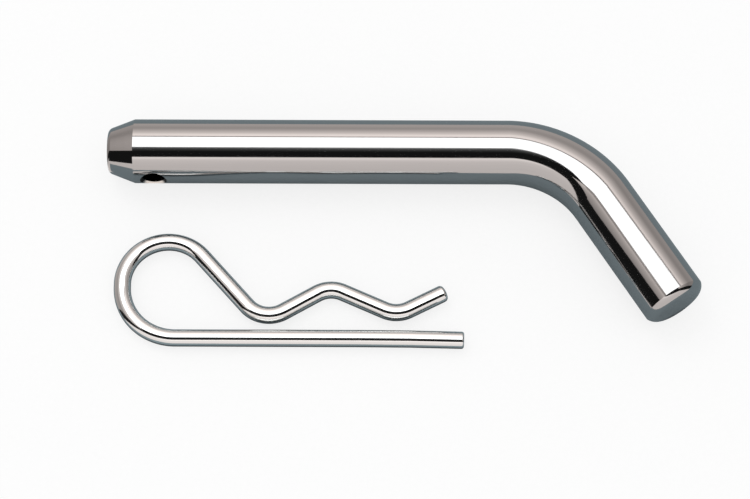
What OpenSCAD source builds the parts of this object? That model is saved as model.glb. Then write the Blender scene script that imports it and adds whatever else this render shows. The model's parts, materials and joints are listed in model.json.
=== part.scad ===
// Bent hitch pin with a hairpin clip, laid side by side on a table.
//
// Millimetres. The origin is the centre of the pin's cross hole, on the shank's axis.
// +X runs along the shank from the nose to the bend, the arm turns towards -Y, and +Z is up.
// The clip lies flat in front of the shank, with its straight leg parallel to the shank.

/* [Pin] */
// Diameter of the solid round bar, nominally 5/8 inch
bar_d = 15.875; // [14:0.125:18]
// From the cross hole's centre to the nose's flat end
nose_reach = 11.4; // [11:0.1:16]
// Length of the nose's taper
taper_length = 6.6; // [4:0.1:7]
// Angle of the taper's side to the shank's axis
taper_angle = 21; // [18:1:28]
// Rounding between the taper and the nose's flat end
nose_rounding = 1.5; // [0.5:0.1:2]
// From the cross hole's centre to where the bend starts
shank_length = 88; // [65:0.1:120]
// Radius of the bend, to the bar's axis
bend_radius = 26.8; // [20:0.1:40]
// Angle that the arm turns away from the shank
bend_angle = 58.5; // [45:0.5:90]
// Length of the straight arm, from the bend to its flat end
arm_length = 33.3; // [25:0.1:50]
// Rounding of the arm's end
end_rounding = 3; // [1:0.1:3]
// Angle at which the end's rounding breaks away from the side of the arm
end_break_angle = 20; // [5:1:25]

/* [Cross hole] */
// Diameter of the hole for the clip
hole_d = 5.7; // [5:0.1:6]
// Diameter of the countersink at each mouth
sink_d = 6.9; // [6.2:0.1:7.2]
// Depth of each countersink below the top of the bar's round side
sink_depth = 1.15; // [0.6:0.05:1.2]

/* [Clip] */
// Diameter of the spring wire
wire_d = 4.2; // [3.5:0.1:4.5]
// Rounding of the wire's cut ends
wire_rounding = 0.6; // [0.3:0.1:1]
// From the cross hole's centre, along the shank, to where the straight leg meets the loop
clip_x = 7.4; // [0:0.1:20]
// From the shank's axis to the straight leg's axis
clip_y = 47.5; // [45:0.5:70]
// Length of the straight leg
leg_length = 69.2; // [60:0.1:80]
// Radius of the loop's lower quarter, to the wire's axis
loop_low_radius = 13.4; // [12:0.1:14]
// Angle that the loop's lower quarter turns
loop_low_turn = 89; // [86:1:92]
// Short straight run before, between and after the loop's two curves
loop_flat = 1; // [0.5:0.1:2]
// Radius of the rest of the loop
loop_high_radius = 11; // [10.5:0.1:12]
// Angle that the rest of the loop turns
loop_high_turn = 140; // [137:1:142]

/* [Wavy leg] */
// Straight run from the loop down to the first trough
descent = 16.4; // [15.5:0.1:17]
// Radius of the first trough
first_trough_radius = 7.1; // [6:0.1:7.5]
// Angle that the first trough turns
first_trough_turn = 79.5; // [77:0.5:82]
// Straight run from the first trough to the crest
rise = 9.4; // [8:0.1:12]
// Radius of the crest that sits over the bar
crest_radius = 6.9; // [6:0.1:10]
// Angle that the crest turns
crest_turn = 55; // [50:1:57]
// Straight run from the crest to the second trough
fall = 11.2; // [10:0.1:12]
// Radius of the second trough
second_trough_radius = 6.8; // [5:0.1:8]
// Angle that the second trough turns
second_trough_turn = 52; // [45:1:60]
// Straight free end that leads the bar in under the wavy leg
lead_in = 10; // [6:0.1:14]

/* [Hidden] */
$fn = 96;
bar_r = bar_d / 2;
// Length of the shank between the taper and the bend
shank_run = nose_reach - taper_length + shank_length;
// Pin and clip both rest on the table, which is one bar radius below the shank's axis
clip_z = wire_d / 2 - bar_r;
// How much bending draws down the radius of a bar or wire
bend_draw = 0.03;
// Angle by which each end of a bend runs on inside its straight neighbour
bend_tuck = 0.2;
// Extra length on a cutting shape, so that it leaves no skin
overshoot = 2;

// A straight length of round bar along +X, and then whatever follows it.
module rod_run(diameter, length) {
    rotate([0, 90, 0])
        cylinder(d = diameter, h = length);
    past_run(length)
        children();
}

// A bend in a round bar, and then whatever follows it. A positive turn is to the left.
// Bending draws the bar down a little, and the bend's ends sit just inside their straight neighbours.
module rod_bend(diameter, radius, turn) {
    start = turn > 0 ? -90 : 90 + turn;
    translate([0, sign(turn) * radius, 0])
        rotate([0, 0, start - bend_tuck])
            rotate_extrude(angle = abs(turn) + 2 * bend_tuck)
                translate([radius, 0])
                    circle(r = diameter / 2 - bend_draw);
    past_bend(radius, turn)
        children();
}

// Moves whatever follows to the far end of a straight length.
module past_run(length) {
    translate([length, 0, 0])
        children();
}

// Moves whatever follows to the far end of a bend.
module past_bend(radius, turn) {
    translate([radius * sin(abs(turn)), sign(turn) * radius * (1 - cos(turn)), 0])
        rotate([0, 0, turn])
            children();
}

// The last length of a round bar along +X, with a rounded edge at its flat end.
// The rounding leaves the bar's side at break_angle, which is 0 for a smooth blend.
module rod_end(diameter, length, rounding, break_angle = 0) {
    r = diameter / 2;
    centre = [r - rounding * cos(break_angle), length - rounding];
    edge = centre + rounding * [cos(break_angle), sin(break_angle)];
    rotate([0, 90, 0])
        rotate_extrude() {
            polygon([[0, 0], [r, 0], edge, centre, [centre.x, length], [0, length]]);
            intersection() {
                translate(centre)
                    circle(r = rounding);
                square([r, length]);
            }
        }
}

// The nose: a cone along -X whose flat end has a rounded edge.
module tapered_nose() {
    centre_z = taper_length - nose_rounding;
    side_r = bar_r - centre_z * tan(taper_angle);
    centre = [side_r - nose_rounding / cos(taper_angle), centre_z];
    edge = centre + nose_rounding * [cos(taper_angle), sin(taper_angle)];
    rotate([0, -90, 0])
        rotate_extrude() {
            polygon([[0, 0], [bar_r, 0], edge, centre, [centre.x, taper_length], [0, taper_length]]);
            translate(centre)
                circle(r = nose_rounding);
        }
}

// The hole for the clip, along Y, with a countersink at each mouth.
module cross_hole() {
    rotate([90, 0, 0])
        cylinder(d = hole_d, h = bar_d + 2 * overshoot, center = true);
    sink_slope = (sink_d - hole_d) / sink_depth;
    for (side = [-90, 90])
        rotate([side, 0, 0])
            translate([0, 0, bar_r - sink_depth])
                cylinder(d1 = hole_d, d2 = sink_d + sink_slope * overshoot, h = sink_depth + overshoot);
}

// The bent bar that carries the load.
module hitch_pin() {
    color("gainsboro")
        difference() {
            translate([taper_length - nose_reach, 0, 0]) {
                tapered_nose();
                rod_run(bar_d, shank_run)
                    rod_bend(bar_d, bend_radius, -bend_angle)
                        rod_end(bar_d, arm_length, end_rounding, end_break_angle);
            }
            cross_hole();
        }
}

// Puts a part of the clip in place. Its own origin is where the straight leg meets the loop.
module in_clip_place() {
    translate([clip_x, -clip_y, clip_z])
        children();
}

// The leg that goes through the pin's cross hole.
module clip_straight_leg() {
    color("silver")
        in_clip_place()
            rod_end(wire_d, leg_length, wire_rounding);
}

// The open loop that works as the clip's spring.
module clip_spring_loop() {
    color("lightgray")
        in_clip_place()
            rotate([0, 0, 180])
                rod_run(wire_d, loop_flat)
                    rod_bend(wire_d, loop_low_radius, -loop_low_turn)
                        rod_run(wire_d, loop_flat)
                            rod_bend(wire_d, loop_high_radius, -loop_high_turn)
                                rod_run(wire_d, loop_flat);
}

// Moves whatever follows to the upper end of the loop.
module past_loop() {
    rotate([0, 0, 180])
        past_run(loop_flat)
            past_bend(loop_low_radius, -loop_low_turn)
                past_run(loop_flat)
                    past_bend(loop_high_radius, -loop_high_turn)
                        past_run(loop_flat)
                            children();
}

// The leg that springs over the bar: down to a trough, over a crest, into a second trough, and up.
module clip_wavy_leg() {
    color("whitesmoke")
        in_clip_place()
            past_loop()
                rod_run(wire_d, descent)
                    rod_bend(wire_d, first_trough_radius, first_trough_turn)
                        rod_run(wire_d, rise)
                            rod_bend(wire_d, crest_radius, -crest_turn)
                                rod_run(wire_d, fall)
                                    rod_bend(wire_d, second_trough_radius, second_trough_turn)
                                        rod_end(wire_d, lead_in, wire_rounding);
}

hitch_pin();
clip_straight_leg();
clip_spring_loop();
clip_wavy_leg();
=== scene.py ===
"""A bent hitch pin and its hairpin clip in polished steel, side by side on a pale table.

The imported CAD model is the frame: it says where the bar, its cross hole and the clip lie,
and what moves with what. This script builds fine meshes of the same two pieces, their steel,
a light tent for the steel to reflect, the floor and the camera.
Lengths are in metres unless a name ends in _MM or _mm, and angles are in degrees.
"""

import json
import math

import bpy
import numpy as np
from mathutils import Matrix, Vector


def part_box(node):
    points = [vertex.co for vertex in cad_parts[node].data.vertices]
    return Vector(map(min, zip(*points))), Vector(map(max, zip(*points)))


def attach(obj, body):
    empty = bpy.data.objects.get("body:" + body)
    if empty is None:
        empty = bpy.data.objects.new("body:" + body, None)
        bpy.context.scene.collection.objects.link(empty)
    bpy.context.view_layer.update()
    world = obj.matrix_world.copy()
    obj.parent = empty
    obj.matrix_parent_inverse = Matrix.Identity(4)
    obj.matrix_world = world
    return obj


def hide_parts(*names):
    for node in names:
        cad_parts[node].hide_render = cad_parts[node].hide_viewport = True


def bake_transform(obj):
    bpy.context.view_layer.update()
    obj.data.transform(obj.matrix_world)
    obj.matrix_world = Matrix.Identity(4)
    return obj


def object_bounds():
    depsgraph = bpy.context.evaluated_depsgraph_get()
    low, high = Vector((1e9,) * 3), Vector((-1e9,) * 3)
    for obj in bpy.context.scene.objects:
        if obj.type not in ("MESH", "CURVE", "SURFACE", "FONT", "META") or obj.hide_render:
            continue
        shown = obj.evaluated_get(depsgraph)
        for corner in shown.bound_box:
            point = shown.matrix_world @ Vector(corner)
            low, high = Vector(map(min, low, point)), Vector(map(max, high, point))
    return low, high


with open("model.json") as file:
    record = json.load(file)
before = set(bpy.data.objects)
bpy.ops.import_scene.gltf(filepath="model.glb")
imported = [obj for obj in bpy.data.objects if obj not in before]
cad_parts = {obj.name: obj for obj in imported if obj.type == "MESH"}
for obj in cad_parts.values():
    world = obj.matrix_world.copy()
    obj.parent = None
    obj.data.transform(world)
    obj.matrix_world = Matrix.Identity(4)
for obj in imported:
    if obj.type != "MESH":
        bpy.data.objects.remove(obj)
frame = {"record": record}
cad_low, cad_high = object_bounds()

MM = 0.001
MOUNTS = {mount["name"]: mount for mount in frame["record"]["mounts"]}

# ---------------------------------------------------------------- the bar
BAR_R = MOUNTS["shank"]["dims"]["r_mm"] * MM
BORE_R = MOUNTS["cross_hole"]["dims"]["r_mm"] * MM
BORE_HALF = MOUNTS["cross_hole"]["dims"]["length_mm"] * MM / 2
SINK_SLOPE = 0.52           # how fast each mouth's countersink widens
ROLLED_EDGE = 0.2 * MM      # the bore runs this much further out than in the CAD model before it widens
SINK_DROP = 0.45            # each countersink is cut a little low, and drops by this share of its depth
NOSE_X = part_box("hitch_pin")[0].x
TAPER_LENGTH = 6.6 * MM
SHOULDER_X = NOSE_X + TAPER_LENGTH
TAPER_ANGLE = 21
NOSE_ROUNDING = 1.5 * MM
BEND_START_X = 88 * MM
BEND_RADIUS = 26.8 * MM
BEND_ANGLE = 58.5
ARM_LENGTH = 33.3 * MM
END_ROUNDING = 3 * MM
END_BREAK_ANGLE = 20
BEND_LEAN = 0.08            # bending makes the bar this share thicker inside the bend, and thinner outside

# ---------------------------------------------------------------- the clip
WIRE_R = MOUNTS["clip_leg"]["dims"]["r_mm"] * MM
WIRE_ROUNDING = 0.6 * MM
TIP_ROUNDING = 1 * MM       # the wavy leg's tip is rounder than the straight leg's end
LEG_LOW, LEG_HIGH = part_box("clip_straight_leg")
CLIP_Z = (LEG_LOW.z + LEG_HIGH.z) / 2
LEG_Y = (LEG_LOW.y + LEG_HIGH.y) / 2
LEG_LENGTH = LEG_HIGH.x - LEG_LOW.x
LEG_BOW_LENGTH = 25 * MM    # the straight leg's free end has a very slight bow
LEG_BOW_ANGLE = 1.6
LOOP_FLAT = 1 * MM
LOOP = [
    ("run", LOOP_FLAT),
    ("bend", 13.4 * MM, -89),
    ("run", LOOP_FLAT),
    ("bend", 11 * MM, -140),
    ("run", LOOP_FLAT),
]
WAVES = [
    ("run", 16.4 * MM),
    ("bend", 7.1 * MM, 79.5),
    ("run", 9.4 * MM),
    ("bend", 6.9 * MM, -55),
    ("run", 11.2 * MM),
    ("bend", 6.8 * MM, 52),
]
LEAD_IN = 10 * MM

TABLE_GAP = 0.05 * MM       # keeps the table clear of the steel that rests on it
TABLE_Z = cad_low.z - TABLE_GAP


# ================================================================ tubes
def follow(x, y, heading, moves, run_step, bend_step):
    """Rows of (x, y, heading) along runs and bends in a level plane. A positive turn is to the left."""
    rows = [(x, y, heading)]
    for move in moves:
        if move[0] == "run":
            count = max(1, round(move[1] / run_step))
            length = move[1] / count
            for _ in range(count):
                x += length * math.cos(math.radians(heading))
                y += length * math.sin(math.radians(heading))
                rows.append((x, y, heading))
        else:
            radius, turn = move[1], move[2]
            count = max(1, round(abs(turn) / bend_step))
            side = math.copysign(1, turn)
            centre_x = x - side * radius * math.sin(math.radians(heading))
            centre_y = y + side * radius * math.cos(math.radians(heading))
            for _ in range(count):
                heading += turn / count
                x = centre_x + side * radius * math.sin(math.radians(heading))
                y = centre_y - side * radius * math.cos(math.radians(heading))
                rows.append((x, y, heading))
    return rows


def rounded_end(radius, rounding, break_angle=0, steps=14):
    """Pairs of (distance past the last full ring, radius) from a bar's side round to its flat end."""
    centre = radius - rounding * math.cos(math.radians(break_angle))
    start = rounding * math.sin(math.radians(break_angle))
    pairs = []
    for i in range(steps + 1):
        angle = math.radians(break_angle + (90 - break_angle) * i / steps)
        pairs.append((rounding * math.sin(angle) - start, centre + rounding * math.cos(angle)))
    return pairs


def tapered_end(radius, length, angle, rounding, steps=14):
    """The same pairs for a cone with a rounded edge at its flat end."""
    slope = math.radians(angle)
    centre_along = length - rounding
    centre = radius - centre_along * math.tan(slope) - rounding / math.cos(slope)
    pairs = [(0, radius)]
    for i in range(steps + 1):
        turn = slope + (math.pi / 2 - slope) * i / steps
        pairs.append((centre_along + rounding * math.sin(turn), centre + rounding * math.cos(turn)))
    return pairs


FACE_RINGS = (0.96, 0.5)    # extra rings on a flat end, as shares of its radius


def end_rings(row, pairs, forward):
    """Rings of (x, y, heading, radius, lean) past a path's end, or before its start where forward is -1."""
    x, y, heading = row
    face_along, face_radius = pairs[-1]
    pairs = pairs + [(face_along, face_radius * share) for share in FACE_RINGS]
    way_x = math.cos(math.radians(heading)) * forward
    way_y = math.sin(math.radians(heading)) * forward
    return [(x + way_x * along, y + way_y * along, heading, radius, 0) for along, radius in pairs]


def quads(rows, around):
    """Four-sided faces between neighbouring closed rings of points."""
    faces = []
    for i in range(rows - 1):
        for j in range(around):
            k = (j + 1) % around
            faces.append((i * around + j, i * around + k, (i + 1) * around + k, (i + 1) * around + j))
    return faces


def tube(name, rings, z, around):
    """A closed tube through the rings, with its two flat ends filled.

    A ring's lean thickens its right-hand side. The attribute bar_space holds each point's place
    on the straight bar: (distance travelled, left, up).
    """
    theta = np.arange(around) * 2 * math.pi / around
    points, straight = [], []
    travelled = 0.0
    last = None
    for x, y, heading, radius, lean in rings:
        if last is not None:
            travelled += math.hypot(x - last[0], y - last[1])
        last = (x, y)
        left = np.array((-math.sin(math.radians(heading)), math.cos(math.radians(heading))))
        out = radius * np.cos(theta)
        up = radius * np.sin(theta) * (1 - lean * np.cos(theta))
        points.append(np.column_stack((x + left[0] * out, y + left[1] * out, z + up)))
        straight.append(np.column_stack((np.full(around, travelled), out, up)))
    for ring, end in ((rings[0], 0), (rings[-1], -1)):
        points.append(np.array([(ring[0], ring[1], z)]))
        straight.append(np.array([(straight[end][0][0], 0, 0)]))
    count = len(rings)
    first_pole, last_pole = count * around, count * around + 1
    faces = quads(count, around)
    for j in range(around):
        k = (j + 1) % around
        faces.append((first_pole, k, j))
        faces.append((last_pole, (count - 1) * around + j, (count - 1) * around + k))
    mesh = bpy.data.meshes.new(name)
    mesh.from_pydata(np.concatenate(points).tolist(), [], faces)
    space = mesh.attributes.new("bar_space", "FLOAT_VECTOR", "POINT")
    space.data.foreach_set("vector", np.concatenate(straight).ravel())
    piece = bpy.data.objects.new(name, mesh)
    bpy.context.scene.collection.objects.link(piece)
    finish_surface(mesh)
    return piece


def finish_surface(mesh, crease_angle=10):
    """Smooth shading with a crisp crease wherever two faces meet at more than crease_angle."""
    mesh.polygons.foreach_set("use_smooth", [True] * len(mesh.polygons))
    mesh.set_sharp_from_angle(angle=math.radians(crease_angle))
    mesh.update()


# ================================================================ the pin
def pin_path():
    """The pin's path, from the nose's shoulder to where the arm's end starts to round over."""
    end_length = END_ROUNDING * (1 - math.sin(math.radians(END_BREAK_ANGLE)))
    moves = [
        ("run", BEND_START_X - SHOULDER_X),
        ("bend", BEND_RADIUS, -BEND_ANGLE),
        ("run", ARM_LENGTH - end_length),
    ]
    return follow(SHOULDER_X, 0, 0, moves, run_step=4 * MM, bend_step=0.65)


def pin_rings():
    rows = pin_path()
    nose = end_rings(rows[0], tapered_end(BAR_R, TAPER_LENGTH, TAPER_ANGLE, NOSE_ROUNDING), -1)
    arm_end = end_rings(rows[-1], rounded_end(BAR_R, END_ROUNDING, END_BREAK_ANGLE), 1)
    middle = []
    for x, y, heading in rows:
        along_bend = -heading / BEND_ANGLE
        middle.append((x, y, heading, BAR_R, BEND_LEAN * math.sin(math.pi * along_bend)))
    return nose[:0:-1] + middle + arm_end[1:]


def drill_shape(name, profile, around):
    """A closed round solid along Y, through rings given as (y, radius, height of the ring's centre)."""
    theta = np.arange(around) * 2 * math.pi / around
    points = [(r * math.sin(t), y, centre_z + r * math.cos(t)) for y, r, centre_z in profile for t in theta]
    faces = quads(len(profile), around)
    faces.append(tuple(reversed(range(around))))
    faces.append(tuple(range((len(profile) - 1) * around, len(profile) * around)))
    mesh = bpy.data.meshes.new(name)
    mesh.from_pydata(points, [], faces)
    solid = bpy.data.objects.new(name, mesh)
    bpy.context.scene.collection.objects.link(solid)
    return solid


def drill_cross_hole(bar):
    """Cuts the clip's hole and its two countersinks through the bar."""
    overshoot = 2 * MM
    reach = BAR_R + overshoot
    sink_start = BORE_HALF + ROLLED_EDGE
    sink = reach - sink_start
    mouth = (BORE_R + SINK_SLOPE * sink, -SINK_DROP * sink)
    profile = [(-reach, *mouth), (-sink_start, BORE_R, 0), (sink_start, BORE_R, 0), (reach, *mouth)]
    drill = drill_shape("drill", profile, around=128)
    drill.data.materials.append(drilled_steel_painted_shade_and_highlight())
    cut = bar.modifiers.new("cross_hole", "BOOLEAN")
    cut.operation = "DIFFERENCE"
    cut.solver = "EXACT"
    cut.material_mode = "TRANSFER"
    cut.object = drill
    drilled = bpy.data.meshes.new_from_object(bar.evaluated_get(bpy.context.evaluated_depsgraph_get()))
    bar.modifiers.clear()
    bar.data = drilled
    bpy.data.objects.remove(drill)
    finish_surface(drilled)


def straighten(points):
    """Where each of the pin's points would be if the bar had never been bent: (along, left, up)."""
    x, y, z = points.T
    bend_centre = np.array((BEND_START_X, -BEND_RADIUS))
    turned = np.arctan2(x - bend_centre[0], y - bend_centre[1])
    from_centre = np.hypot(x - bend_centre[0], y - bend_centre[1])
    full_turn = math.radians(BEND_ANGLE)
    arm_way = np.array((math.cos(full_turn), -math.sin(full_turn)))
    arm_start = bend_centre + BEND_RADIUS * np.array((math.sin(full_turn), math.cos(full_turn)))
    past_x, past_y = x - arm_start[0], y - arm_start[1]
    along_arm = past_x * arm_way[0] + past_y * arm_way[1]
    left_of_arm = past_x * -arm_way[1] + past_y * arm_way[0]
    on_shank = x <= BEND_START_X
    on_arm = ~on_shank & (along_arm > 0)
    along = np.where(on_shank, x, BEND_START_X + BEND_RADIUS * turned)
    along = np.where(on_arm, BEND_START_X + BEND_RADIUS * full_turn + along_arm, along)
    left = np.where(on_shank, y, from_centre - BEND_RADIUS)
    left = np.where(on_arm, left_of_arm, left)
    return np.column_stack((along, left, z))


def true_shank_normals(mesh):
    """Exact normals on the shank's round side, so that reflections run straight past the cross hole."""
    points = np.empty(len(mesh.vertices) * 3)
    mesh.vertices.foreach_get("co", points)
    points = points.reshape(-1, 3)
    tolerance = 0.002 * MM
    on_side = np.abs(np.hypot(points[:, 1], points[:, 2]) - BAR_R) < tolerance
    on_side &= (points[:, 0] > SHOULDER_X - tolerance) & (points[:, 0] < BEND_START_X / 2)
    normals = [(0.0, 0.0, 0.0)] * len(mesh.loops)
    for face in mesh.polygons:
        if all(on_side[v] for v in face.vertices):
            for loop in face.loop_indices:
                _, y, z = points[mesh.loops[loop].vertex_index]
                normals[loop] = (0.0, y / BAR_R, z / BAR_R)
    mesh.normals_split_custom_set(normals)


def make_pin():
    """The bent bar with its hole. Its steel goes on first, so that the drill's cut keeps its own."""
    pin = tube("bent_pin", pin_rings(), 0, around=256)
    steel = polished_steel(
        "drawn_bar_steel", (0.53, 0.53, 0.53), 0.05, lines=0.0004 * MM, ripple=0.005 * MM, pit_size=0.03,
    )
    pin.data.materials.append(steel)
    drill_cross_hole(pin)
    mesh = pin.data
    points = np.empty(len(mesh.vertices) * 3)
    mesh.vertices.foreach_get("co", points)
    space = mesh.attributes.get("bar_space") or mesh.attributes.new("bar_space", "FLOAT_VECTOR", "POINT")
    space.data.foreach_set("vector", straighten(points.reshape(-1, 3)).ravel())
    true_shank_normals(mesh)
    mesh.name = "bent_pin"
    return pin


# ================================================================ the clip
def make_clip():
    """One length of wire, from the straight leg's free end, round the loop and along the waves."""
    end_x = LEG_HIGH.x - WIRE_ROUNDING
    straight = LEG_LENGTH - WIRE_ROUNDING - LEG_BOW_LENGTH
    bow_radius = LEG_BOW_LENGTH / math.radians(LEG_BOW_ANGLE)
    bow_drop = bow_radius * (1 - math.cos(math.radians(LEG_BOW_ANGLE)))
    leg = [("bend", bow_radius, LEG_BOW_ANGLE), ("run", straight)]
    moves = leg + LOOP + WAVES + [("run", LEAD_IN - TIP_ROUNDING)]
    rows = follow(end_x, LEG_Y - bow_drop, 180 - LEG_BOW_ANGLE, moves, run_step=1 * MM, bend_step=1)
    rings = end_rings(rows[0], rounded_end(WIRE_R, WIRE_ROUNDING, steps=8), -1)[:0:-1]
    rings += [(x, y, heading, WIRE_R, 0) for x, y, heading in rows]
    rings += end_rings(rows[-1], rounded_end(WIRE_R, TIP_ROUNDING, steps=8), 1)[1:]
    clip = tube("hairpin_clip", rings, CLIP_Z, around=72)
    steel = polished_steel(
        "spring_wire_steel", (0.87, 0.89, 0.89), 0.06, lines=0.0003 * MM, ripple=0.003 * MM, pit_size=0.04,
    )
    clip.data.materials.append(steel)
    return clip


# ================================================================ materials
def add_node(tree, kind, inputs=None, **settings):
    """A new shader node with its settings, and its inputs given as values or as other nodes' outputs."""
    made = tree.nodes.new(kind)
    for key, value in settings.items():
        setattr(made, key, value)
    for key, value in (inputs or {}).items():
        if isinstance(value, bpy.types.NodeSocket):
            tree.links.new(value, made.inputs[key])
        else:
            made.inputs[key].default_value = value
    return made


def maths(tree, operation, *values):
    """The result of a Math node."""
    return add_node(tree, "ShaderNodeMath", dict(enumerate(values)), operation=operation).outputs[0]


def scaled_vector(tree, vector, scale):
    return add_node(tree, "ShaderNodeVectorMath", {0: vector, "Scale": scale}, operation="SCALE").outputs[0]


def mixed_colour(tree, factor, first, second):
    """A mix of two colours. Colours given as values have three parts."""
    pair = [tuple(c) + (1.0,) if isinstance(c, tuple) else c for c in (first, second)]
    mix = add_node(tree, "ShaderNodeMix", {"Factor": factor, "A": pair[0], "B": pair[1]}, data_type="RGBA")
    return mix.outputs["Result"]


def new_material(name):
    material = bpy.data.materials.new(name)
    material.use_nodes = True
    material.node_tree.nodes.clear()
    return material, material.node_tree


def stretched_noise(tree, vector, along, across, detail):
    """Noise in bar space, with features about 1/along long and 1/across wide, in metres."""
    stretch = {0: vector, 1: (along, across, across)}
    scaled = add_node(tree, "ShaderNodeVectorMath", stretch, operation="MULTIPLY").outputs[0]
    noise = add_node(tree, "ShaderNodeTexNoise", {"Vector": scaled, "Scale": 1.0, "Detail": detail})
    return noise.outputs["Fac"]


PIT_CELLS = 190.0           # cells per metre of bar, some of which hold a pit
PIT_THRESHOLD = 0.86        # only cells whose random value is above this have one
PIT_COLOUR = (0.25, 0.24, 0.23)
PIT_DEPTH = 0.01 * MM
WORN_SHADE = 0.94           # the drawing lines darken the steel to this share


def polished_steel(name, colour, roughness, lines, ripple, pit_size):
    """Polished bar: drawing lines along it, a faint ripple from bending, hazy patches and a few pits."""
    material, tree = new_material(name)
    space = add_node(tree, "ShaderNodeAttribute", attribute_name="bar_space").outputs["Vector"]
    drawn = stretched_noise(tree, space, along=50, across=2600, detail=3)
    waves = stretched_noise(tree, space, along=550, across=60, detail=1)
    haze = stretched_noise(tree, space, along=60, across=220, detail=4)

    cells = add_node(tree, "ShaderNodeTexVoronoi", {"Vector": space, "Scale": PIT_CELLS, "Randomness": 1.0})
    chosen = maths(tree, "GREATER_THAN", cells.outputs["Color"], PIT_THRESHOLD)
    dot = add_node(
        tree, "ShaderNodeMapRange",
        {
            "Value": cells.outputs["Distance"],
            "From Min": 0.0, "From Max": pit_size, "To Min": 1.0, "To Max": 0.0,
        },
        interpolation_type="SMOOTHSTEP",
    ).outputs[0]
    pits = maths(tree, "MULTIPLY", chosen, dot)

    ripple_bump = add_node(tree, "ShaderNodeBump", {"Strength": 1.0, "Distance": ripple, "Height": waves})
    line_bump = add_node(
        tree, "ShaderNodeBump",
        {"Strength": 1.0, "Distance": lines, "Height": drawn, "Normal": ripple_bump.outputs[0]},
    )
    pit_bump = add_node(
        tree, "ShaderNodeBump",
        {"Strength": 1.0, "Distance": PIT_DEPTH, "Height": pits, "Normal": line_bump.outputs[0]},
        invert=True,
    )
    rough = add_node(
        tree, "ShaderNodeMapRange",
        {"Value": haze, "From Min": 0.35, "From Max": 0.7, "To Min": roughness, "To Max": roughness * 1.9},
    )
    worn = tuple(channel * WORN_SHADE for channel in colour)
    tint = mixed_colour(tree, drawn, colour, worn)
    base = mixed_colour(tree, pits, tint, PIT_COLOUR)
    shader = add_node(
        tree, "ShaderNodeBsdfPrincipled",
        {
            "Base Color": base,
            "Metallic": 1.0,
            "Roughness": rough.outputs[0],
            "Normal": pit_bump.outputs[0],
        },
    )
    output = add_node(tree, "ShaderNodeOutputMaterial")
    tree.links.new(shader.outputs[0], output.inputs["Surface"])
    return material


SINK_EDGE = 0.15 * MM       # the painted highlight of each countersink's lower lip starts this far past the bore in the CAD model, and takes over within this length
SINK_BLEND = 0.1 * MM       # and takes over within this length
LIP_DARK_Z = -1.7 * MM      # each countersink is painted dark as shade down to here, and gets its painted highlight from LIP_BRIGHT_Z down
LIP_BRIGHT_Z = -2.4 * MM
# painted shade: the bore and the upper part of each countersink are coloured nearly black
BORE_PAINTED_SHADE = (0.03, 0.03, 0.03)
# painted highlight: the colour of each countersink's bright lower lip
LIP_PAINTED_HIGHLIGHT = (0.8, 0.78, 0.74)
DRILL_RINGS = 900.0         # scale of the fine rings that the drill leaves
DRILL_RING_DEPTH = 0.01 * MM


def drilled_steel_painted_shade_and_highlight():
    """The hole's surface: dull and finely ringed, painted nearly black as shade in the bore and the upper
    countersinks, with a painted highlight on the lower lip of each mouth.
    """
    material, tree = new_material("drilled_steel_painted_shade_and_highlight")
    place = add_node(tree, "ShaderNodeNewGeometry").outputs["Position"]
    axes = add_node(tree, "ShaderNodeSeparateXYZ", {0: place}).outputs
    outward = maths(tree, "ABSOLUTE", axes["Y"])
    sink_start = BORE_HALF + SINK_EDGE
    on_sink = add_node(
        tree, "ShaderNodeMapRange",
        {"Value": outward, "From Min": sink_start, "From Max": sink_start + SINK_BLEND},
    ).outputs[0]
    lip_highlight_mask = add_node(
        tree, "ShaderNodeMapRange", {"Value": axes["Z"], "From Min": LIP_DARK_Z, "From Max": LIP_BRIGHT_Z},
    ).outputs[0]
    # 0 keeps the bore's painted shade, 1 gives the lower lip's painted highlight
    shade = maths(tree, "MULTIPLY", on_sink, lip_highlight_mask)
    rings = add_node(
        tree, "ShaderNodeTexWave",
        {"Vector": place, "Scale": DRILL_RINGS, "Distortion": 1.5},
        bands_direction="Y",
    ).outputs["Fac"]
    bump = add_node(
        tree, "ShaderNodeBump", {"Strength": 0.4, "Distance": DRILL_RING_DEPTH, "Height": rings},
    ).outputs[0]
    colour = mixed_colour(tree, shade, BORE_PAINTED_SHADE, LIP_PAINTED_HIGHLIGHT)
    shader = add_node(
        tree, "ShaderNodeBsdfPrincipled",
        {"Base Color": colour, "Metallic": 1.0, "Roughness": 0.3, "Normal": bump},
    )
    output = add_node(tree, "ShaderNodeOutputMaterial")
    tree.links.new(shader.outputs[0], output.inputs["Surface"])
    return material


# ================================================================ stage
SKY_BRIGHTNESS = 1.0        # what the floor and the camera see
CLOTH = (1.0, 0.895, 0.85)
CARD = (1.0, 0.918, 0.884)
WHITE = (1.0, 1.0, 1.0)

# The light tent that the steel reflects. It is the same on the left and the right, so x stands for the
# sideways part of a direction, whichever way it points. Each panel is a convex patch of sky: every side is
# a plane through the object, given by a normal that points into the patch. A panel's brightness runs
# through (height, brightness) stops, where height is the upward part of the direction: 1 straight up and
# 0 level. A panel is hidden inside its "outside" patch, and its fade darkens it to the left and the right.
FRONT_EDGE = (0.07, 1, 0.165)   # the softbox and the cloth both end here towards the front
SOFTBOX_PATCH = [(-1, 0, 0.62), FRONT_EDGE, (0, -1, 0.53), (0, 0, 1)]
SOFTBOX_STOPS = [(0.0, 2.2), (1.0, 2.2)]
FRAME_PATCH = [(-1, 0, 0.78), FRONT_EDGE, (0, -1, 0.61), (0, 0, 1)]
FRAME_STOPS = [(0.0, 0.45), (1.0, 0.45)]
CLOTH_PATCH = [FRONT_EDGE]
CLOTH_STOPS = [
    (0.0, 0.62), (0.13, 0.61), (0.2, 0.58), (0.33, 0.53), (0.4, 0.54),
    (0.46, 0.61), (0.58, 0.81), (0.69, 1.04), (0.74, 1.24), (0.79, 1.48),
]
CLOTH_FADE = 0.42
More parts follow.
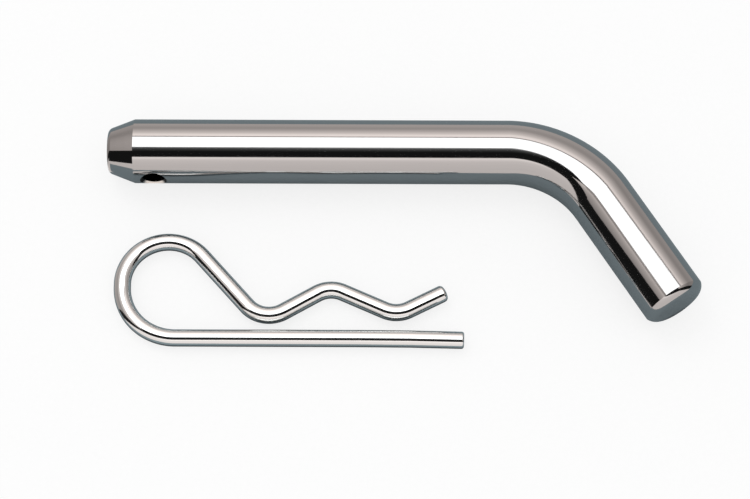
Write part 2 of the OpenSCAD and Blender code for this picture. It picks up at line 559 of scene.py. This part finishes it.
WING_PATCH = [(0, 1, 0.42), (1, 0, -0.69)]
CARD_PATCH = [(0, -0.695, -0.72), (-0.33, -0.809, -0.4)]
CARD_STOPS = [(0.0, 0.87), (0.3, 0.91), (0.5, 0.97), (0.56, 1.06), (0.62, 1.22), (0.72, 1.3)]
GLOW_PATCH = [(-0.07, -1, -0.165), (0, 1, 0.6), (-1, 0, 0.8)]
GLOW_STOPS = [(0.9, 0.0), (0.93, 0.025), (0.955, 0.07), (0.972, 0.16), (0.985, 0.6)]


def make_panel(tint, stops, sides, outside=(), fade=0.0):
    return {"tint": tint, "stops": stops, "sides": sides, "outside": outside, "fade": fade}


PANELS = [
    # the softbox, and its dim rim
    make_panel(WHITE, SOFTBOX_STOPS, SOFTBOX_PATCH),
    make_panel(CLOTH, FRAME_STOPS, FRAME_PATCH, SOFTBOX_PATCH),
    # the cloth behind, and its two wings that reach forward
    make_panel(CLOTH, CLOTH_STOPS, CLOTH_PATCH, FRAME_PATCH, CLOTH_FADE),
    make_panel(CLOTH, CLOTH_STOPS, WING_PATCH, CLOTH_PATCH, CLOTH_FADE),
    # the card in front, and the softbox's faint glow in the gap before it
    make_panel(CARD, CARD_STOPS, CARD_PATCH),
    make_panel(WHITE, GLOW_STOPS, GLOW_PATCH),
]
PANEL_SOFTNESS = 0.006      # half the width of a panel's soft edge
BLACK_LEVEL = 0.012         # brightness of the gaps between the panels
SIDEWAYS_CURVE = 1.5        # power that sets how late a panel's fade comes in


def patch_of_sky(tree, direction, sides):
    """1 inside the patch and 0 outside, with slightly soft edges."""
    inside = None
    for side in sides:
        normal = Vector(side).normalized()
        depth = add_node(tree, "ShaderNodeVectorMath", {0: direction, 1: normal}, operation="DOT_PRODUCT")
        edge = add_node(
            tree, "ShaderNodeMapRange",
            {
                "Value": depth.outputs["Value"],
                "From Min": -PANEL_SOFTNESS, "From Max": PANEL_SOFTNESS, "To Min": 0.0, "To Max": 1.0,
            },
        ).outputs[0]
        inside = edge if inside is None else maths(tree, "MULTIPLY", inside, edge)
    return inside


def brightness_by_height(tree, height, stops):
    """A value that runs through (height, brightness) stops."""
    ceiling = max(value for _, value in stops)
    ramp = add_node(tree, "ShaderNodeValToRGB", {"Fac": height})
    while len(ramp.color_ramp.elements) < len(stops):
        ramp.color_ramp.elements.new(1.0)
    for element, (position, value) in zip(ramp.color_ramp.elements, stops):
        element.position = position
        element.color = (value / ceiling, value / ceiling, value / ceiling, 1.0)
    return maths(tree, "MULTIPLY", ramp.outputs["Color"], ceiling)


def darker_sideways(tree, direction, fade):
    """1 straight ahead and behind, falling by the fade towards the left and the right."""
    flat = {0: direction, 1: (1, 1, 0)}
    level = add_node(tree, "ShaderNodeVectorMath", flat, operation="MULTIPLY").outputs[0]
    unit = add_node(tree, "ShaderNodeVectorMath", {0: level}, operation="NORMALIZE").outputs[0]
    sideways = add_node(tree, "ShaderNodeSeparateXYZ", {0: unit}).outputs["X"]
    curve = maths(tree, "POWER", sideways, SIDEWAYS_CURVE)
    return maths(tree, "MULTIPLY_ADD", curve, -fade, 1.0)


def panel_light(tree, direction, height, panel):
    """The light of one panel in each direction."""
    inside = patch_of_sky(tree, direction, panel["sides"])
    if panel["outside"]:
        hidden = patch_of_sky(tree, direction, panel["outside"])
        shown = maths(tree, "SUBTRACT", 1.0, hidden)
        inside = maths(tree, "MULTIPLY", inside, shown)
    brightness = brightness_by_height(tree, height, panel["stops"])
    if panel["fade"]:
        faded = darker_sideways(tree, direction, panel["fade"])
        brightness = maths(tree, "MULTIPLY", brightness, faded)
    amount = maths(tree, "MULTIPLY", inside, brightness)
    return scaled_vector(tree, panel["tint"], amount)


def make_sky():
    """Polished steel sees the light tent. Everything else sees a plain pale sky."""
    world = bpy.data.worlds.new("studio")
    bpy.context.scene.world = world
    world.use_nodes = True
    world.cycles.sampling_method = "NONE"
    tree = world.node_tree
    tree.nodes.clear()
    one_way = add_node(tree, "ShaderNodeTexCoord").outputs["Generated"]
    parts = add_node(tree, "ShaderNodeSeparateXYZ", {0: one_way}).outputs
    sideways = maths(tree, "ABSOLUTE", parts["X"])
    height = parts["Z"]
    both_ways = {"X": sideways, "Y": parts["Y"], "Z": height}
    direction = add_node(tree, "ShaderNodeCombineXYZ", both_ways).outputs[0]
    tent = add_node(tree, "ShaderNodeRGB").outputs[0]
    tent.default_value = (BLACK_LEVEL, BLACK_LEVEL, BLACK_LEVEL, 1.0)
    for panel in PANELS:
        light = panel_light(tree, direction, height, panel)
        tent = add_node(tree, "ShaderNodeVectorMath", {0: tent, 1: light}, operation="ADD").outputs[0]
    is_glossy = add_node(tree, "ShaderNodeLightPath").outputs["Is Glossy Ray"]
    colour = mixed_colour(tree, is_glossy, (SKY_BRIGHTNESS,) * 3, tent)
    background = add_node(tree, "ShaderNodeBackground", {"Color": colour, "Strength": 1.0})
    output = add_node(tree, "ShaderNodeOutputWorld")
    tree.links.new(background.outputs[0], output.inputs["Surface"])


MAT_FRONT = 0.15            # a ray towards the front meets the mat when it drops at least this steeply,
MAT_FRONT_GROWTH = 1.6      # and this much more steeply for each metre to the right
MAT_BACK = 0.06             # the same towards the back
MAT_SIDE = 0.3              # the same towards the left
MAT_LEFT = 14 * MM          # rays within a wedge to the left don't meet it beyond here
MAT_LEFT_WEDGE = 1.3        # the wedge's length over its half width
MAT_COLOUR = (0.225, 0.27, 0.29)
CONTACT_NEAR = 1.2 * MM     # a ray shorter than this sees the mat at its darkest, close under the steel,
CONTACT_FAR = 5 * MM        # and one longer than this sees its full colour
CONTACT_SHADE = 0.05
FLOOR_HALF = 12.0
FLOOR_GREYS = (0.93, 0.95)  # the floor's grain runs between these
FLOOR_GRAIN = 900.0
FLOOR_BRIGHTNESS = 1.03
FLOOR_GLOW = 0.8            # share of the floor's light that is its own, which keeps its shadows faint


def way_of_ray(tree, geometry):
    """The direction in which the ray that meets the surface travels."""
    return scaled_vector(tree, geometry["Incoming"], -1.0)


def mat_patch(tree, place, ray):
    """1 where a reflected ray meets the mat, and 0 where it passes beyond the mat's edge."""
    place_x = add_node(tree, "ShaderNodeSeparateXYZ", {0: place}).outputs["X"]
    ray_parts = add_node(tree, "ShaderNodeSeparateXYZ", {0: ray}).outputs
    below_sides = patch_of_sky(tree, ray, [(0, -MAT_BACK, -1), (MAT_SIDE, 0, -1)])
    steepness = maths(tree, "MULTIPLY_ADD", place_x, MAT_FRONT_GROWTH, MAT_FRONT)
    drop = maths(tree, "MULTIPLY", ray_parts["Y"], steepness)
    below_front = maths(tree, "GREATER_THAN", drop, ray_parts["Z"])
    leftward = patch_of_sky(tree, ray, [(-1, MAT_LEFT_WEDGE, 0), (-1, -MAT_LEFT_WEDGE, 0)])
    past_left = maths(tree, "LESS_THAN", place_x, -MAT_LEFT)
    shown = maths(tree, "SUBTRACT", 1.0, maths(tree, "MULTIPLY", leftward, past_left))
    return maths(tree, "MULTIPLY", maths(tree, "MULTIPLY", below_sides, below_front), shown)


def floor_material():
    """Pale to the camera. In the steel's reflections it is a blue-grey mat of limited size."""
    material, tree = new_material("pale_table")
    geometry = add_node(tree, "ShaderNodeNewGeometry").outputs
    place = geometry["Position"]
    inside = mat_patch(tree, place, way_of_ray(tree, geometry))
    grain = add_node(tree, "ShaderNodeTexNoise", {"Vector": place, "Scale": FLOOR_GRAIN, "Detail": 2.0})
    pale_colour = mixed_colour(tree, grain.outputs["Fac"], (FLOOR_GREYS[0],) * 3, (FLOOR_GREYS[1],) * 3)
    matt = add_node(tree, "ShaderNodeBsdfDiffuse", {"Color": pale_colour}).outputs[0]
    own_light = {"Color": pale_colour, "Strength": FLOOR_BRIGHTNESS}
    glow = add_node(tree, "ShaderNodeEmission", own_light).outputs[0]
    pale = add_node(tree, "ShaderNodeMixShader", {0: FLOOR_GLOW, 1: matt, 2: glow}).outputs[0]
    path = add_node(tree, "ShaderNodeLightPath").outputs
    shade = add_node(
        tree, "ShaderNodeMapRange",
        {
            "Value": path["Ray Length"], "From Min": CONTACT_NEAR, "From Max": CONTACT_FAR,
            "To Min": CONTACT_SHADE, "To Max": 1.0,
        },
    ).outputs[0]
    mat_colour = scaled_vector(tree, MAT_COLOUR, shade)
    mat = add_node(tree, "ShaderNodeBsdfDiffuse", {"Color": mat_colour}).outputs[0]
    beyond = add_node(tree, "ShaderNodeBsdfTransparent").outputs[0]
    reflected = add_node(tree, "ShaderNodeMixShader", {0: inside, 1: beyond, 2: mat}).outputs[0]
    surface = add_node(tree, "ShaderNodeMixShader", {0: path["Is Glossy Ray"], 1: pale, 2: reflected})
    output = add_node(tree, "ShaderNodeOutputMaterial")
    tree.links.new(surface.outputs[0], output.inputs["Surface"])
    return material


def make_floor():
    mesh = bpy.data.meshes.new("table_top")
    corners = [(x * FLOOR_HALF, y * FLOOR_HALF, TABLE_Z) for x, y in ((-1, -1), (1, -1), (1, 1), (-1, 1))]
    mesh.from_pydata(corners, [], [(0, 1, 2, 3)])
    floor = bpy.data.objects.new("table_top", mesh)
    bpy.context.scene.collection.objects.link(floor)
    floor.data.materials.append(floor_material())


# A small black flag in front and to the left of the nose cuts the card's reflection short on the cone.
# Its corners are given from the middle of the nose's flat end, and it only shows to rays that travel
# towards the front left.
FLAG_CORNERS_MM = [(-19.9, -11.4, -2.7), (-5.1, -23.2, 10), (-9.8, -19.5, 24), (-24.6, -7.7, 20)]
FLAG_WAY = [(-1, 0.5, 0), (0.4, -1, 0)]


def flag_material():
    material, tree = new_material("black_flag")
    ray = way_of_ray(tree, add_node(tree, "ShaderNodeNewGeometry").outputs)
    shown = patch_of_sky(tree, ray, FLAG_WAY)
    beyond = add_node(tree, "ShaderNodeBsdfTransparent").outputs[0]
    black = add_node(tree, "ShaderNodeEmission", {"Strength": BLACK_LEVEL}).outputs[0]
    surface = add_node(tree, "ShaderNodeMixShader", {0: shown, 1: beyond, 2: black}).outputs[0]
    output = add_node(tree, "ShaderNodeOutputMaterial")
    tree.links.new(surface, output.inputs["Surface"])
    return material


def make_flag():
    """The flag is there for reflections only."""
    nose = Vector((NOSE_X, 0, 0))
    mesh = bpy.data.meshes.new("nose_flag")
    mesh.from_pydata([nose + Vector(corner) * MM for corner in FLAG_CORNERS_MM], [], [(0, 1, 2, 3)])
    flag = bpy.data.objects.new("nose_flag", mesh)
    bpy.context.scene.collection.objects.link(flag)
    flag.data.materials.append(flag_material())
    flag.visible_camera = False
    flag.visible_diffuse = False
    flag.visible_shadow = False


def make_key_light():
    """A soft light that only shapes the shadows. The steel doesn't mirror it."""
    light = bpy.data.lights.new("shadow_light", "AREA")
    light.shape = "DISK"
    light.size = 0.5
    light.energy = 1.2
    lamp = bpy.data.objects.new("shadow_light", light)
    lamp.location = (-0.25, 0.35, 0.8)
    lamp.rotation_mode = "QUATERNION"
    lamp.rotation_quaternion = (-Vector(lamp.location)).to_track_quat("-Z", "Y")
    lamp.visible_glossy = False
    bpy.context.scene.collection.objects.link(lamp)


VIEW_ELEVATION = 66.5       # the camera looks down this steeply, from the front
VIEW_DISTANCE = 0.55
VIEW_ROLL = 0.205
VIEW_LENS_MM = 108.1
SENSOR_WIDTH_MM = 36
AIM_OFFSET = Vector((-6.4 * MM, -5.6 * MM, 0))    # from the object's middle to the picture's middle


def make_camera():
    camera = bpy.data.cameras.new("camera")
    camera.lens = VIEW_LENS_MM
    camera.sensor_width = SENSOR_WIDTH_MM
    camera.clip_start, camera.clip_end = 0.01, 50
    holder = bpy.data.objects.new("camera", camera)
    bpy.context.scene.collection.objects.link(holder)
    middle = (cad_low + cad_high) / 2
    aim = Vector((middle.x, middle.y, 0)) + AIM_OFFSET
    slope = math.radians(VIEW_ELEVATION)
    back = Vector((0, -math.cos(slope), math.sin(slope)))
    level = (-back).to_track_quat("-Z", "Y").to_matrix()
    roll = Matrix.Rotation(math.radians(VIEW_ROLL), 3, "Z")
    holder.matrix_world = Matrix.Translation(aim + back * VIEW_DISTANCE) @ (level @ roll).to_4x4()
    bpy.context.scene.camera = holder


# ================================================================ build
pin = make_pin()
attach(pin, "pin")
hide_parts("hitch_pin")

clip = make_clip()
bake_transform(clip)
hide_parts("clip_straight_leg", "clip_spring_loop", "clip_wavy_leg")

make_sky()
make_floor()
make_flag()
make_key_light()
make_camera()
bpy.context.scene.view_settings.view_transform = "Standard"
